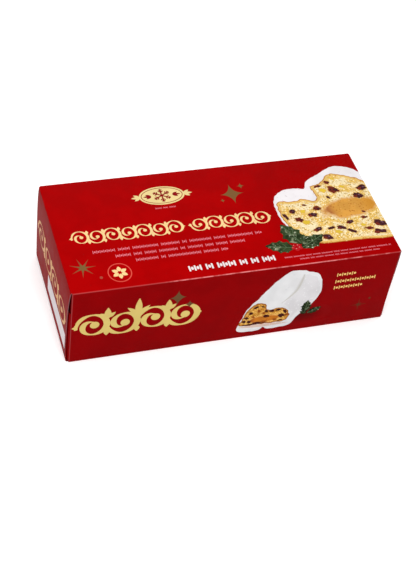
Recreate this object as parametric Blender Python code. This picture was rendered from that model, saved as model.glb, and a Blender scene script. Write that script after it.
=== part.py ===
"""A shut folding carton for a festive loaf, with glued flaps at both ends.

Metres, +Z up. The origin is on the floor under the middle of the carton. The length runs along X,
the front panel faces -Y and the top panel faces +Z. The flaps at the -X end stand a little open.
"""

import math

import bmesh
import bpy

# Driving dimensions
TUBE_LENGTH = 0.265
DEPTH = 0.121
HEIGHT = 0.077
BOARD = 0.0005

# Creases of the four long panels and of the dust flaps
CREASE_RADIUS = 0.0008
CREASE_SEGMENTS = 3

# Outer flap, hinged on the top panel. It stands off the end of the tube by these amounts.
LEFT_STANDOFF_FRONT = 0.0029
LEFT_STANDOFF_BACK = 0.0021
RIGHT_STANDOFF = 0.0016
ROLL_RADIUS = 0.0010
ROLL_SEGMENTS = 5
BULGE_REACH = 0.010
BULGE_SEGMENTS = 8
OUTER_FLAP_FOOT = 0.0052
OUTER_INSET_TOP = 0.0011
OUTER_INSET_FOOT = 0.0036

# Bottom flap, hinged on the bottom panel and folded up behind the outer flap
BOTTOM_FLAP_TOP = 0.0550
BOTTOM_STANDOFF = 2.4 * BOARD
BOTTOM_INSET_FOOT = 0.0014
BOTTOM_INSET_TOP = 0.0034

# Glued middle of the end, which leaves a slot behind each free edge of the outer flap
GLUE_SIDE = 0.0130
GLUE_FOOT = 0.0110
SLOT_ROOF = 0.0011

# Glue lap along the lower back edge, where the back panel ends in a cut edge
LAP_STEP_HEIGHT = 0.0010

# How far the flaps run into the tube, below its faces, so that the union has no faces that touch
ROOT = 0.0015

# The open end reaches further than the shut one, so the tube sits off the middle by half of that
TUBE_CENTRE = (max(LEFT_STANDOFF_FRONT, LEFT_STANDOFF_BACK) - RIGHT_STANDOFF) / 2

PRINTED_RED = (0.40, 0.0, 0.003, 1.0)


def clear_scene():
    """Remove whatever the file holds."""
    for item in list(bpy.data.objects):
        bpy.data.objects.remove(item, do_unlink=True)


def add_object(name, bm):
    """Give a bmesh a closed, outward mesh and an object in the scene."""
    bmesh.ops.recalc_face_normals(bm, faces=bm.faces)
    mesh = bpy.data.meshes.new(name)
    bm.to_mesh(mesh)
    bm.free()
    item = bpy.data.objects.new(name, mesh)
    bpy.context.scene.collection.objects.link(item)
    return item


def board_material():
    """Coated folding board, printed red."""
    material = bpy.data.materials.new("printed_board")
    material.use_nodes = True
    shader = material.node_tree.nodes["Principled BSDF"]
    shader.inputs["Base Color"].default_value = PRINTED_RED
    shader.inputs["Roughness"].default_value = 0.38
    shader.inputs["Metallic"].default_value = 0.0
    return material


def box(name, low, high):
    """A plain box between two corners."""
    bm = bmesh.new()
    bmesh.ops.create_cube(bm, size=1.0)
    for vert in bm.verts:
        for axis in range(3):
            middle = (low[axis] + high[axis]) / 2
            vert.co[axis] = middle + vert.co[axis] * (high[axis] - low[axis])
    return add_object(name, bm)


def tube():
    """The four panels and the dust flaps, with rolled creases and sharp roots for the outer flaps."""
    bm = bmesh.new()
    bmesh.ops.create_cube(bm, size=1.0)
    for vert in bm.verts:
        vert.co.x = TUBE_CENTRE + vert.co.x * TUBE_LENGTH
        vert.co.y *= DEPTH
        vert.co.z = (vert.co.z + 0.5) * HEIGHT
    creases = []
    for edge in bm.edges:
        ends = [vert.co for vert in edge.verts]
        runs_along_y = abs(ends[0].y - ends[1].y) > DEPTH / 2
        if not runs_along_y:
            creases.append(edge)
    bmesh.ops.bevel(
        bm, geom=creases, offset=CREASE_RADIUS, segments=CREASE_SEGMENTS,
        affect="EDGES", profile=0.5, material=-1,
    )
    return add_object("carton", bm)


def end_plate(name, side, profile, inset_low, inset_high, standoff_ratio=1.0):
    """Extrude a profile of (standoff, height) points across the end.

    side is -1 or 1 for the end at -X or +X. The insets are what the plate leaves free beside the
    front and back panels at its lowest and highest point. At the back the standoff is multiplied
    by standoff_ratio, because the outer flap springs out further at the front.
    """
    end = TUBE_CENTRE + side * TUBE_LENGTH / 2
    heights = [height for _, height in profile]
    low, high = min(heights), max(heights)
    bm = bmesh.new()
    outline = [bm.verts.new((standoff, -1.0, height)) for standoff, height in profile]
    front = bm.faces.new(outline)
    extruded = bmesh.ops.extrude_face_region(bm, geom=[front], use_keep_orig=True)
    for item in extruded["geom"]:
        if isinstance(item, bmesh.types.BMVert):
            item.co.y = 1.0
    for vert in bm.verts:
        share = (vert.co.z - low) / (high - low)
        half_width = DEPTH / 2 - (inset_low + (inset_high - inset_low) * share)
        at_back = vert.co.y > 0
        standoff = vert.co.x
        if at_back and standoff > 0:
            standoff *= standoff_ratio
        vert.co.x = end + side * standoff
        vert.co.y *= half_width
    return add_object(name, bm)


def flap_curve(standoff, offset):
    """Points down the outer flap, from its fold to its foot, at a depth of offset in the board."""
    slope = (standoff - ROLL_RADIUS) / BULGE_REACH
    lean = math.atan(slope)
    radius = ROLL_RADIUS - offset
    points = []
    for step in range(ROLL_SEGMENTS + 1):
        angle = math.pi / 2 - (math.pi / 2 - lean) * step / ROLL_SEGMENTS
        points.append((radius * math.cos(angle), HEIGHT - ROLL_RADIUS + radius * math.sin(angle)))
    start_standoff, start_height = points[-1]
    growth = standoff - offset - start_standoff
    for step in range(1, BULGE_SEGMENTS + 1):
        # The steps lengthen downwards, because the flap is nearly flat there
        share = (step / BULGE_SEGMENTS) ** 1.7
        height = start_height + (OUTER_FLAP_FOOT - start_height) * share
        rise = 1 - math.exp(-(start_height - height) / BULGE_REACH)
        points.append((start_standoff + growth * rise, height))
    return points


def outer_flap(side, standoff_front, standoff_back):
    """A strip of board that rolls over from the top panel and bulges away from the end."""
    outside = flap_curve(standoff_front, 0.0)
    inside = flap_curve(standoff_front, BOARD)
    root = [(-ROOT, HEIGHT - BOARD), (-ROOT, HEIGHT - BOARD / 2)]
    profile = outside + inside[::-1] + root
    ratio = standoff_back / standoff_front
    return end_plate("outer_flap", side, profile, OUTER_INSET_FOOT, OUTER_INSET_TOP, ratio)


def bottom_flap(side):
    """A plate that rolls up from the bottom panel over the dust flaps."""
    profile = [(-ROOT, BOTTOM_FLAP_TOP), (-ROOT, BOARD)]
    for step in range(ROLL_SEGMENTS + 1):
        angle = math.pi / 2 * step / ROLL_SEGMENTS
        standoff = BOTTOM_STANDOFF * math.sin(angle)
        profile.append((standoff, BOTTOM_STANDOFF * (1 - math.cos(angle))))
    profile.append((BOTTOM_STANDOFF, BOTTOM_FLAP_TOP))
    return end_plate("bottom_flap", side, profile, BOTTOM_INSET_FOOT, BOTTOM_INSET_TOP)


def glued_middle(side, standoff_front, standoff_back):
    """What lies between the tube's end and the outer flap, out of sight behind its free edges."""
    outside = flap_curve(standoff_front, BOARD / 2)
    highest = HEIGHT - SLOT_ROOF
    kept = [point for point in outside if GLUE_FOOT < point[1] < highest]
    profile = [(-ROOT, highest - ROOT), (-ROOT, GLUE_FOOT), (kept[-1][0], GLUE_FOOT)] + kept[::-1]
    ratio = standoff_back / standoff_front
    return end_plate("glued_middle", side, profile, GLUE_SIDE, GLUE_SIDE, ratio)


def combine(target, others, operation):
    """Apply one Boolean with each of the other objects, and remove them."""
    for other in others:
        other.hide_render = True
        other.display_type = "WIRE"
        boolean = target.modifiers.new(operation.lower(), "BOOLEAN")
        boolean.operation = operation
        boolean.solver = "EXACT"
        boolean.object = other
    depsgraph = bpy.context.evaluated_depsgraph_get()
    joined = bpy.data.meshes.new_from_object(target.evaluated_get(depsgraph))
    target.modifiers.clear()
    spent = target.data
    target.data = joined
    bpy.data.meshes.remove(spent)
    for other in others:
        bpy.data.objects.remove(other, do_unlink=True)


def carton():
    """The whole shut carton as one solid."""
    item = tube()
    lap_cutter = box(
        "lap_cutter",
        (-TUBE_LENGTH, DEPTH / 2 - BOARD, -LAP_STEP_HEIGHT),
        (TUBE_LENGTH, DEPTH / 2 + BOARD, LAP_STEP_HEIGHT),
    )
    combine(item, [lap_cutter], "DIFFERENCE")
    ends = (
        (-1, LEFT_STANDOFF_FRONT, LEFT_STANDOFF_BACK),
        (1, RIGHT_STANDOFF, RIGHT_STANDOFF),
    )
    flaps = []
    for side, standoff_front, standoff_back in ends:
        flaps.append(bottom_flap(side))
        flaps.append(glued_middle(side, standoff_front, standoff_back))
        flaps.append(outer_flap(side, standoff_front, standoff_back))
    combine(item, flaps, "UNION")
    item.data.name = "carton"
    item.data.materials.clear()
    item.data.materials.append(board_material())
    item.data.shade_smooth()
    item.data.set_sharp_from_angle(angle=math.radians(40))
    return item


def main():
    clear_scene()
    carton()


main()
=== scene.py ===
"""The looks of a shut folding carton for a festive loaf: its board, creases, flaps and print.

Sizes are in metres, and print is laid out in millimetres along and down from the upper left corner
of each panel, as it is read. The frame's CAD box gives the carton's place and overall size.
"""

import math
import random

import bmesh
import bpy
from mathutils import Matrix, Vector, geometry, noise


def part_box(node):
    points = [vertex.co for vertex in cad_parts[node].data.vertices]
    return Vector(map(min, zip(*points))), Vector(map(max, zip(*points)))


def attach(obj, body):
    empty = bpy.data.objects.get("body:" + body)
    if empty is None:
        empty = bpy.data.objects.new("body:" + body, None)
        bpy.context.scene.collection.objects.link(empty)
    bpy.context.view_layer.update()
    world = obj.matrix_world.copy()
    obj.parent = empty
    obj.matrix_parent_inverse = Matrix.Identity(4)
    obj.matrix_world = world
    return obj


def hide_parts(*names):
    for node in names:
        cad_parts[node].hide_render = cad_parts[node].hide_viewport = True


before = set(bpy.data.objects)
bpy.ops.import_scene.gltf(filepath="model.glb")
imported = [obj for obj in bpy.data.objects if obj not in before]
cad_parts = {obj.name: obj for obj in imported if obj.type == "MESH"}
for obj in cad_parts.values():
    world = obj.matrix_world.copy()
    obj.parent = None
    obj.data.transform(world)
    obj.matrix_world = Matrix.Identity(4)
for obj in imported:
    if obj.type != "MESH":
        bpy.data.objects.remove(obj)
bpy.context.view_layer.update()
CARTON_LOW, CARTON_HIGH = (Vector(corner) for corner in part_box("carton"))

bl_info = {
    "name": "Festive loaf carton",
    "version": (1, 0, 0),
    "blender": (4, 5, 0),
    "location": "View3D > Sidebar > Carton",
    "description": "Builds the board, flaps and print of a shut folding carton, with its stage",
    "category": "Object",
}

MM = 0.001

# In millimetres: how deep every printed plate reaches into its panel, and the step from the level of
# one shape in a sheet to the next, until the levels begin again
SUNK = 0.03
LEVEL_STEP = 0.0016
LEVELS = 29

ENDS = ((-1, "left"), (1, "right"))


def ink(red, green, blue):
    """A colour as seen on the pack, from 0 to 255, as the linear colour of its ink."""
    stage_light = 1.15
    linear = []
    for value in (red, green, blue):
        share = value / 255
        value = share / 12.92 if share <= 0.04045 else ((share + 0.055) / 1.055) ** 2.4
        linear.append(min(1.0, value / stage_light))
    return tuple(linear)


# Settings that a user would change


def length(name, description, default):
    """A size property in metres."""
    return bpy.props.FloatProperty(
        name=name, description=description, default=default, unit="LENGTH", precision=5
    )


def colour(name, description, default):
    """A colour property."""
    return bpy.props.FloatVectorProperty(
        name=name, description=description, default=default, size=3, min=0, max=1, subtype="COLOR"
    )


class CartonSizes(bpy.types.PropertyGroup):
    """Sizes of the board and its folds."""

    board: length("Board", "Thickness of the folding board", 0.0005)
    crease: length("Crease", "Radius of the long creases", 0.0008)
    roll: length("Roll", "Radius of the outer flaps' folds", 0.0010)
    left_front: length("Left flap, front", "How far the left flap stands off at the front", 0.0029)
    left_back: length("Left flap, back", "How far the left flap stands off at the back", 0.0021)
    right: length("Right flap", "How far the right flap stands off", 0.0016)
    bulge: length("Bulge", "Height over which an outer flap swings out", 0.010)
    flap_foot: length("Flap foot", "Height of the outer flaps' lower edges", 0.0052)
    bottom_flap: length("Bottom flap", "Height of the bottom flaps' upper edges", 0.0550)


class CartonColours(bpy.types.PropertyGroup):
    """Inks and board."""

    top_red: colour("Top red", "Red of the top panel", ink(174, 0, 2))
    side_red: colour("Side red", "Deeper red of the sides", ink(137, 0, 3))
    # Rubbed board at the creases, which also stands for their painted highlight.
    worn: colour("Worn crease", "Board that shows where a crease has rubbed", ink(228, 130, 130))
    cut_edge: colour("Cut edge", "Grey core of the board", ink(140, 92, 96))
    gold: colour("Gold", "Gold of the large frieze", ink(216, 192, 112))
    cream: colour("Cream", "Cream of the top frieze", ink(250, 214, 150))
    dull_gold: colour("Dull gold", "Gold of the stars", ink(126, 90, 52))
    faint_gold: colour("Faint gold", "Gold of the small star on the front", ink(98, 48, 28))
    pink: colour("Pink", "Pink of the fine rows", ink(234, 128, 140))
    white: colour("White", "White of the bold row and the bare field", ink(238, 230, 229))
    sugar: colour("Sugar", "Icing sugar", ink(244, 239, 241))
    crumb: colour("Crumb", "Pale crumb of the slice", ink(243, 224, 180))
    crust: colour("Crust", "Baked crust", ink(196, 128, 52))
    marzipan: colour("Marzipan", "Marzipan core", ink(210, 150, 66))
    raisin: colour("Raisin", "Dark raisins", ink(70, 34, 38))
    cranberry: colour("Cranberry", "Red dried fruit", ink(118, 44, 30))
    peel: colour("Peel", "Candied peel", ink(232, 196, 62))
    leaf: colour("Leaf", "Holly leaves", ink(54, 72, 40))
    berry: colour("Berry", "Holly berries", ink(190, 30, 36))


def sizes():
    return bpy.context.scene.carton_sizes


def hue(name):
    """One of the carton's colours."""
    return tuple(getattr(bpy.context.scene.carton_colours, name))


# Where the panels are


def tube_box():
    """Lowest and highest corner of the tube, without the outer flaps that stand off its ends."""
    reach = max(sizes().left_front, sizes().left_back)
    return CARTON_LOW + Vector((reach, 0, 0)), CARTON_HIGH - Vector((sizes().right, 0, 0))


class Panel:
    """A face of the carton that carries print.

    side is 0 on a flat panel of the tube. On an outer flap it is -1 or 1, the direction of its end,
    and a point is moved off the tube's end by what the flap stands off there. Print on a panel that
    wraps runs on over its right fold and down the right flap.
    """

    def __init__(self, corner, along, down, side=0, wraps=False):
        self.corner = Vector(corner)
        self.along = Vector(along)
        self.down = Vector(down)
        self.out = self.down.cross(self.along)
        self.side = side
        self.wraps = wraps

    def place(self, along, down, lift):
        point = self.corner + self.along * along + self.down * down
        fold = tube_box()[1].x
        if self.wraps and point.x > fold:
            return over_right_fold(point.x - fold, point.y, lift)
        if self.side:
            lift += flap_standoff(self.side, point.y, point.z)
        return point + self.out * lift

    def cuts(self, reach):
        """Lines in millimetres where print has to be able to bend, as axis and place."""
        if self.side:
            return [(1, 1.0 + 3.8 * row) for row in range(20)]
        if self.wraps:
            low, high = tube_box()
            fold = (high.x - low.x) / MM
            bends = (0.0, 0.3, 0.6, 0.9, 1.2, 1.5, 3.0, 6.0, 9.0, 12.0, 16.0, 20.0)
            return [(0, fold + bend) for bend in bends if fold + bend < reach]
        return []


def panels():
    """All printed panels by name."""
    low, high = tube_box()
    return {
        "top": Panel((low.x, high.y, high.z), (1, 0, 0), (0, -1, 0), wraps=True),
        "front": Panel((low.x, low.y, high.z), (1, 0, 0), (0, 0, -1)),
        "back": Panel((high.x, high.y, high.z), (-1, 0, 0), (0, 0, -1)),
        "left": Panel((low.x, high.y, high.z), (0, -1, 0), (0, 0, -1), side=-1),
        "right": Panel((high.x, low.y, high.z), (0, 1, 0), (0, 0, -1), side=1),
    }


def flap_standoff(side, y, z):
    """How far an outer flap's face stands off the tube's end at a place."""
    low, high = tube_box()
    size = sizes()
    share = (y - low.y) / (high.y - low.y)
    full = size.right if side > 0 else size.left_front + (size.left_back - size.left_front) * share
    lean = math.atan((full - size.roll) / size.bulge)
    roll_foot = high.z - size.roll * (1 - math.sin(lean))
    if z > roll_foot:
        rise = min(size.roll, z - (high.z - size.roll))
        return math.sqrt(max(0.0, size.roll**2 - rise**2))
    start = size.roll * math.cos(lean)
    return start + (full - start) * (1 - math.exp(-(roll_foot - z) / size.bulge))


def over_right_fold(over, y, lift):
    """Where print lies that runs on from the top panel's right edge by the length over."""
    high = tube_box()[1]
    roll = sizes().roll
    lean = math.atan((sizes().right - roll) / sizes().bulge)
    rolled = roll * (math.pi / 2 - lean)
    if over < rolled:
        turn = over / roll
        reach = roll + lift
        return Vector((high.x + reach * math.sin(turn), y, high.z - roll + reach * math.cos(turn)))
    z = high.z - roll * (1 - math.sin(lean)) - (over - rolled)
    return Vector((high.x + flap_standoff(1, y, z) + lift, y, z))


# Materials


def add_node(tree, kind, inputs=None, **settings):
    """Add a node, set its inputs to values or link them to sockets."""
    made = tree.nodes.new(kind)
    for name, value in settings.items():
        setattr(made, name, value)
    for key, value in (inputs or {}).items():
        if isinstance(value, bpy.types.NodeSocket):
            tree.links.new(value, made.inputs[key])
        else:
            made.inputs[key].default_value = value
    return made


def group_node(tree, name, inputs):
    """Place a shared group in a material."""
    return add_node(tree, "ShaderNodeGroup", inputs, node_tree=bpy.data.node_groups[name])


def mix_colours(tree, factor, first, second, blend="MIX"):
    """Mix two colours or sockets, and return the colour socket."""
    first, second = (
        tint if isinstance(tint, bpy.types.NodeSocket) else (*tint, 1.0) for tint in (first, second)
    )
    inputs = {0: factor, 6: first, 7: second}
    return add_node(tree, "ShaderNodeMix", inputs, data_type="RGBA", blend_type=blend).outputs[2]


def map_range(tree, value, low, high, out_low=0.0, out_high=1.0):
    """A smooth step of a value between two limits."""
    inputs = {"Value": value, "From Min": low, "From Max": high, "To Min": out_low, "To Max": out_high}
    return add_node(tree, "ShaderNodeMapRange", inputs, interpolation_type="SMOOTHSTEP").outputs["Result"]


def calculate(tree, operation, first, second):
    """The result of two values or sockets."""
    return add_node(tree, "ShaderNodeMath", {0: first, 1: second}, operation=operation).outputs[0]


def noise_field(tree, place, scale, detail, roughness=0.5):
    """A field of noise from 0 to 1."""
    inputs = {"Vector": place, "Scale": scale, "Detail": detail, "Roughness": roughness}
    return add_node(tree, "ShaderNodeTexNoise", inputs).outputs[0]


def new_group(name, inputs, outputs):
    """A shader node group, with the sockets that enter it and leave it.

    It takes a place and the named inputs, which are floats with a default. The outputs are floats.
    """
    tree = bpy.data.node_groups.new(name, "ShaderNodeTree")
    tree.interface.new_socket(name="Place", in_out="INPUT", socket_type="NodeSocketVector")
    for key, default in inputs.items():
        made = tree.interface.new_socket(name=key, in_out="INPUT", socket_type="NodeSocketFloat")
        made.default_value = default
    for key in outputs:
        tree.interface.new_socket(name=key, in_out="OUTPUT", socket_type="NodeSocketFloat")
    return tree, tree.nodes.new("NodeGroupInput").outputs, tree.nodes.new("NodeGroupOutput").inputs


def paper_fibre_group():
    """Fine fibre of coated board: a height for bump, and a mottle for colour and gloss."""
    tree, entry, leaving = new_group("paper_fibre", {"Fineness": 900.0}, ("Height", "Mottle"))
    place = entry["Place"]
    fibre = calculate(tree, "MULTIPLY", noise_field(tree, place, entry["Fineness"], 3.0), 0.12)
    height = calculate(tree, "ADD", noise_field(tree, place, 14.0, 1.0), fibre)
    tree.links.new(height, leaving["Height"])
    tree.links.new(noise_field(tree, place, 60.0, 2.0), leaving["Mottle"])


def scuffed_and_highlit_crease_group():
    """Where print has rubbed off a crease, which also paints the crease's highlight: broken patches along it,
    fewer towards its ends.
    """
    tree, entry, leaving = new_group("worn_crease", {"Crease": 0.0, "Wear": 0.5}, ("Mask",))
    patches = noise_field(tree, entry["Place"], 130.0, 4.0, roughness=0.65)
    x = add_node(tree, "ShaderNodeSeparateXYZ", {0: entry["Place"]}).outputs["X"]
    left_part, right_part = (-0.080, -0.045), (0.085, 0.120)
    left_end = map_range(tree, x, *left_part, 0.28, 1.0)
    right_end = map_range(tree, x, *right_part, 1.0, 0.72)
    ends = calculate(tree, "MULTIPLY", left_end, right_end)
    limit = calculate(tree, "SUBTRACT", 0.92, calculate(tree, "MULTIPLY", ends, entry["Wear"]))
    patch = map_range(tree, calculate(tree, "SUBTRACT", patches, limit), -0.10, 0.16)
    ridge = map_range(tree, entry["Crease"], 0.30, 0.95)
    tree.links.new(calculate(tree, "MULTIPLY", patch, ridge), leaving["Mask"])


def speckle_group():
    """Soft-edged spots of a given size that take up a given share of the surface."""
    tree, entry, leaving = new_group("speckle", {"Spots per metre": 500.0, "Cover": 0.3}, ("Mask",))
    place, scale = entry["Place"], entry["Spots per metre"]
    inputs = {"Vector": place, "Scale": scale, "Randomness": 1.0}
    cells = add_node(tree, "ShaderNodeTexVoronoi", inputs).outputs[0]
    warp = calculate(tree, "MULTIPLY", noise_field(tree, place, scale, 2.0), 0.7)
    over = calculate(tree, "SUBTRACT", calculate(tree, "ADD", cells, warp), entry["Cover"])
    tree.links.new(map_range(tree, over, 0.16, 0.34, 1.0, 0.0), leaving["Mask"])


class Finish:
    """A material under construction: its tree, its shader and the place that its textures read."""

    def __init__(self, name, roughness, specular=0.16):
        self.material = bpy.data.materials.new(name)
        self.material.use_nodes = True
        self.tree = self.material.node_tree
        self.shader = self.tree.nodes["Principled BSDF"]
        self.shader.inputs["IOR"].default_value = 1.13
        self.shader.inputs["Specular IOR Level"].default_value = specular
        self.roughness = roughness
        self.place = self.tree.nodes.new("ShaderNodeTexCoord").outputs["Object"]
        fibre = group_node(self.tree, "paper_fibre", {"Place": self.place})
        self.height = fibre.outputs["Height"]
        self.mottle = fibre.outputs["Mottle"]

    def mottled(self, tint, depth):
        """A tint with darker clouds."""
        darker = mix_colours(self.tree, 1.0, tint, (depth, depth, depth), "MULTIPLY")
        return mix_colours(self.tree, map_range(self.tree, self.mottle, 0.35, 0.65), darker, tint)

    def clouded(self, tint, cloud_tint, scale, low, high):
        """A tint with soft patches of another, which grow as noise goes from low to high."""
        share = map_range(self.tree, noise_field(self.tree, self.place, scale, 3.0), low, high)
        return mix_colours(self.tree, share, tint, cloud_tint)

    def spotted(self, tint, spot_tint, per_metre, cover):
        """A tint with soft-edged spots of another."""
        inputs = {"Place": self.place, "Spots per metre": per_metre, "Cover": cover}
        spots = group_node(self.tree, "speckle", inputs).outputs["Mask"]
        return mix_colours(self.tree, spots, tint, spot_tint)

    def centred(self, centre, size, tilt=0.0):
        """Places counted from a centre in units of size, and how far they are from it."""
        inputs = {"Vector": self.place, "Location": centre, "Rotation": (0.0, 0.0, tilt), "Scale": size}
        places = add_node(self.tree, "ShaderNodeMapping", inputs, vector_type="TEXTURE").outputs[0]
        away = add_node(self.tree, "ShaderNodeVectorMath", {0: places}, operation="LENGTH")
        return places, away.outputs["Value"]

    def done(self, base_colour, bump=0.10):
        """Link colour, gloss and bump, and return the material."""
        low, high = self.roughness - 0.04, self.roughness + 0.04
        raised = add_node(
            self.tree, "ShaderNodeBump", {"Height": self.height, "Strength": bump, "Distance": 0.0004}
        )
        self.tree.links.new(base_colour, self.shader.inputs["Base Color"])
        gloss = map_range(self.tree, self.mottle, 0.3, 0.7, low, high)
        self.tree.links.new(gloss, self.shader.inputs["Roughness"])
        self.tree.links.new(raised.outputs["Normal"], self.shader.inputs["Normal"])
        return self.material


def shade(tint, factor):
    """A tint made darker or lighter."""
    return tuple(min(1.0, value * factor) for value in tint)


def material_once(maker):
    """Keep the first material that a maker function makes, by its arguments."""
    made = {}

    def get(*values):
        if values not in made:
            made[values] = maker(*values)
        return made[values]

    return get


@material_once
def board_finish(name, scuff_and_highlight):
    """Red printed and varnished board. Faces that point up are a brighter red than the sides. On the top,
    painted light round a point near its front left fades to painted shade towards its back and right, and the
    creases show rubbed board that also serves as their painted highlight.
    """
    finish = Finish(name, roughness=0.42, specular=0.10)
    tree = finish.tree
    shape = tree.nodes.new("ShaderNodeNewGeometry")
    facing = add_node(tree, "ShaderNodeSeparateXYZ", {0: shape.outputs["Normal"]})
    up = map_range(tree, facing.outputs["Z"], 0.3, 0.8)
    red = finish.mottled(mix_colours(tree, up, hue("side_red"), hue("top_red")), 0.90)
    # Painted light and shade: upward faces of the top are lightest round a point near its front left and
    # darken beyond a reach from it, a painted pool of light from the front.
    painted_light_along, painted_light_down, painted_light_reach, painted_shade_reach = 0.06, 0.09, 0.085, 0.17
    painted_light_place = tuple(panels()["top"].place(painted_light_along, painted_light_down, 0))
    away = add_node(
        tree, "ShaderNodeVectorMath", {0: finish.place, 1: painted_light_place}, operation="DISTANCE"
    )
    rim = map_range(tree, away.outputs["Value"], painted_light_reach, painted_shade_reach)
    # darker is the painted shade, up to 14 per cent darker, and rim is its share.
    darker = mix_colours(tree, 1.0, red, (0.86, 0.86, 0.86), "MULTIPLY")
    red = mix_colours(tree, calculate(tree, "MULTIPLY", rim, up), red, darker)
    crease, upright = (
        add_node(tree, "ShaderNodeAttribute", attribute_name=key).outputs["Fac"]
        for key in ("crease", "upright")
    )
    scuff_and_highlight_mask = group_node(tree, "worn_crease", {"Place": finish.place, "Crease": crease, "Wear": scuff_and_highlight})
    # Upright creases get a fifth of this colour all along them, a painted highlight; the long creases get the
    # broken patches, rubbed board and painted highlight in one.
    for share in (calculate(tree, "MULTIPLY", upright, 0.20), scuff_and_highlight_mask.outputs["Mask"]):
        red = mix_colours(tree, share, red, hue("worn"))
    return finish.done(red)


@material_once
def cut_edge_finish():
    """Bare fibre at a cut edge of the board."""
    finish = Finish("cut_edge", roughness=0.85, specular=0.10)
    grey = hue("cut_edge")
    return finish.done(finish.spotted(grey, shade(grey, 0.6), 3000.0, 0.4), bump=0.4)


@material_once
def ink_finish(name, tint, roughness=0.42):
    """A flat ink under the varnish, with a slight mottle."""
    finish = Finish(name, roughness)
    return finish.done(finish.mottled(tint, 0.93))


@material_once
def spotted_finish(name, tint, spot_tint, per_metre, cover):
    """An ink with spots of a second tint, such as fruit skin or icing sugar."""
    finish = Finish(name, roughness=0.45)
    return finish.done(finish.spotted(finish.mottled(tint, 0.9), spot_tint, per_metre, cover))


def crumb_tint(finish, pale, butter):
    """Open crumb with buttery and toasted spots, pale flecks and dark pores."""
    tint = finish.clouded(pale, butter, 110.0, 0.44, 0.60)
    for spots, per_metre, cover in (
        (butter, 330.0, 0.36),
        (shade(butter, 0.62), 480.0, 0.38),
        (shade(pale, 1.22), 620.0, 0.44),
        (shade(butter, 0.32), 560.0, 0.26),
    ):
        tint = finish.spotted(tint, spots, per_metre, cover)
    return tint


def marzipan_tint(finish, along, tone):
    """Marzipan with pale and baked spots, browner towards its two ends."""
    marzipan = hue("marzipan")
    paste = finish.clouded(shade(marzipan, 1.18), marzipan, 70.0, 0.42, 0.60)
    paste = finish.spotted(paste, ink(226, 166, 84), 300.0, 0.26)
    paste = finish.spotted(paste, ink(186, 118, 46), 420.0, 0.30)
    left_end = map_range(finish.tree, along, -0.90, -0.50, 0.9, 0.0)
    right_end = map_range(finish.tree, along, 0.30, 0.90, 0.0, 0.75)
    paste = mix_colours(finish.tree, left_end, paste, ink(168, 100, 56))
    paste = mix_colours(finish.tree, right_end, paste, ink(206, 138, 44))
    return mix_colours(finish.tree, 1.0, paste, tone, "MULTIPLY")


@material_once
def crumb_finish(name, pale, butter, core_place, core_size, core_tilt, core_tone):
    """Crumb round a soft-edged core of marzipan."""
    finish = Finish(name, roughness=0.45)
    tree = finish.tree
    centred, away = finish.centred(core_place, core_size, core_tilt)
    ragged = calculate(tree, "MULTIPLY", noise_field(tree, finish.place, 120.0, 4.0), 0.55)
    field = calculate(tree, "ADD", away, ragged)
    core = map_range(tree, field, 1.18, 1.32, 1.0, 0.0)
    rim = map_range(tree, field, 1.22, 1.62, 0.8, 0.0)
    tint = mix_colours(tree, rim, crumb_tint(finish, pale, butter), ink(214, 152, 84))
    along = add_node(tree, "ShaderNodeSeparateXYZ", {0: centred}).outputs["X"]
    return finish.done(mix_colours(tree, core, tint, marzipan_tint(finish, along, core_tone)))


@material_once
def shadow_finish(name, centre, size):
    """Board red that darkens softly towards a point, as under a pictured thing."""
    finish = Finish(name, roughness=0.42)
    red = hue("side_red")
    dark = map_range(finish.tree, finish.centred(centre, size)[1], 0.1, 0.95, 0.8, 0.0)
    return finish.done(mix_colours(finish.tree, dark, finish.mottled(red, 0.90), shade(red, 0.35)))


@material_once
def leaf_finish(name, depth):
    """Waxy holly leaf with darker clouds and pale glints."""
    finish = Finish(name, roughness=0.40)
    green, sheen, glint = (
        shade(tint, depth) for tint in (hue("leaf"), ink(134, 142, 112), ink(196, 204, 176))
    )
    tint = finish.clouded(shade(green, 0.45), green, 160.0, 0.40, 0.62)
    tint = finish.clouded(tint, sheen, 230.0, 0.55, 0.68)
    return finish.done(finish.spotted(tint, glint, 380.0, 0.24))


# Making pieces


def turn_outwards(bm):
    """Make the faces of every separate shell point outwards, also where it is a thin plate."""
    bmesh.ops.recalc_face_normals(bm, faces=bm.faces)
    left = set(bm.faces)
    while left:
        shell, reached = [], [left.pop()]
        while reached:
            face = reached.pop()
            shell.append(face)
            for other in {other for edge in face.edges for other in edge.link_faces} & left:
                left.remove(other)
                reached.append(other)
        origin = shell[0].verts[0].co.copy()
        volume = 0.0
        for face in shell:
            corners = [vert.co - origin for vert in face.verts]
            for second, third in zip(corners[1:], corners[2:]):
                volume += corners[0].cross(second).dot(third)
        if volume < 0:
            bmesh.ops.reverse_faces(bm, faces=shell)


def add_object(name, data):
    """Put an object in the scene."""
    made = bpy.data.objects.new(name, data)
    bpy.context.scene.collection.objects.link(made)
    return made


def mesh_from(bm, name, *materials):
    """Turn a bmesh into a mesh with its materials."""
    mesh = bpy.data.meshes.new(name)
    bm.to_mesh(mesh)
    bm.free()
    for material in materials:
        mesh.materials.append(material)
    return mesh


def finish_piece(bm, name, slot, *materials):
    """Turn a bmesh into a piece of the carton, in place, with its materials."""
    turn_outwards(bm)
    piece = add_object(name, mesh_from(bm, name, *materials))
    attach(piece, "root")
    return piece


def smooth_folds(piece, degrees):
    """Shade a piece smooth, except where its faces meet at more than an angle."""
    piece.data.shade_smooth()
    piece.data.set_sharp_from_angle(angle=math.radians(degrees))


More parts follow.
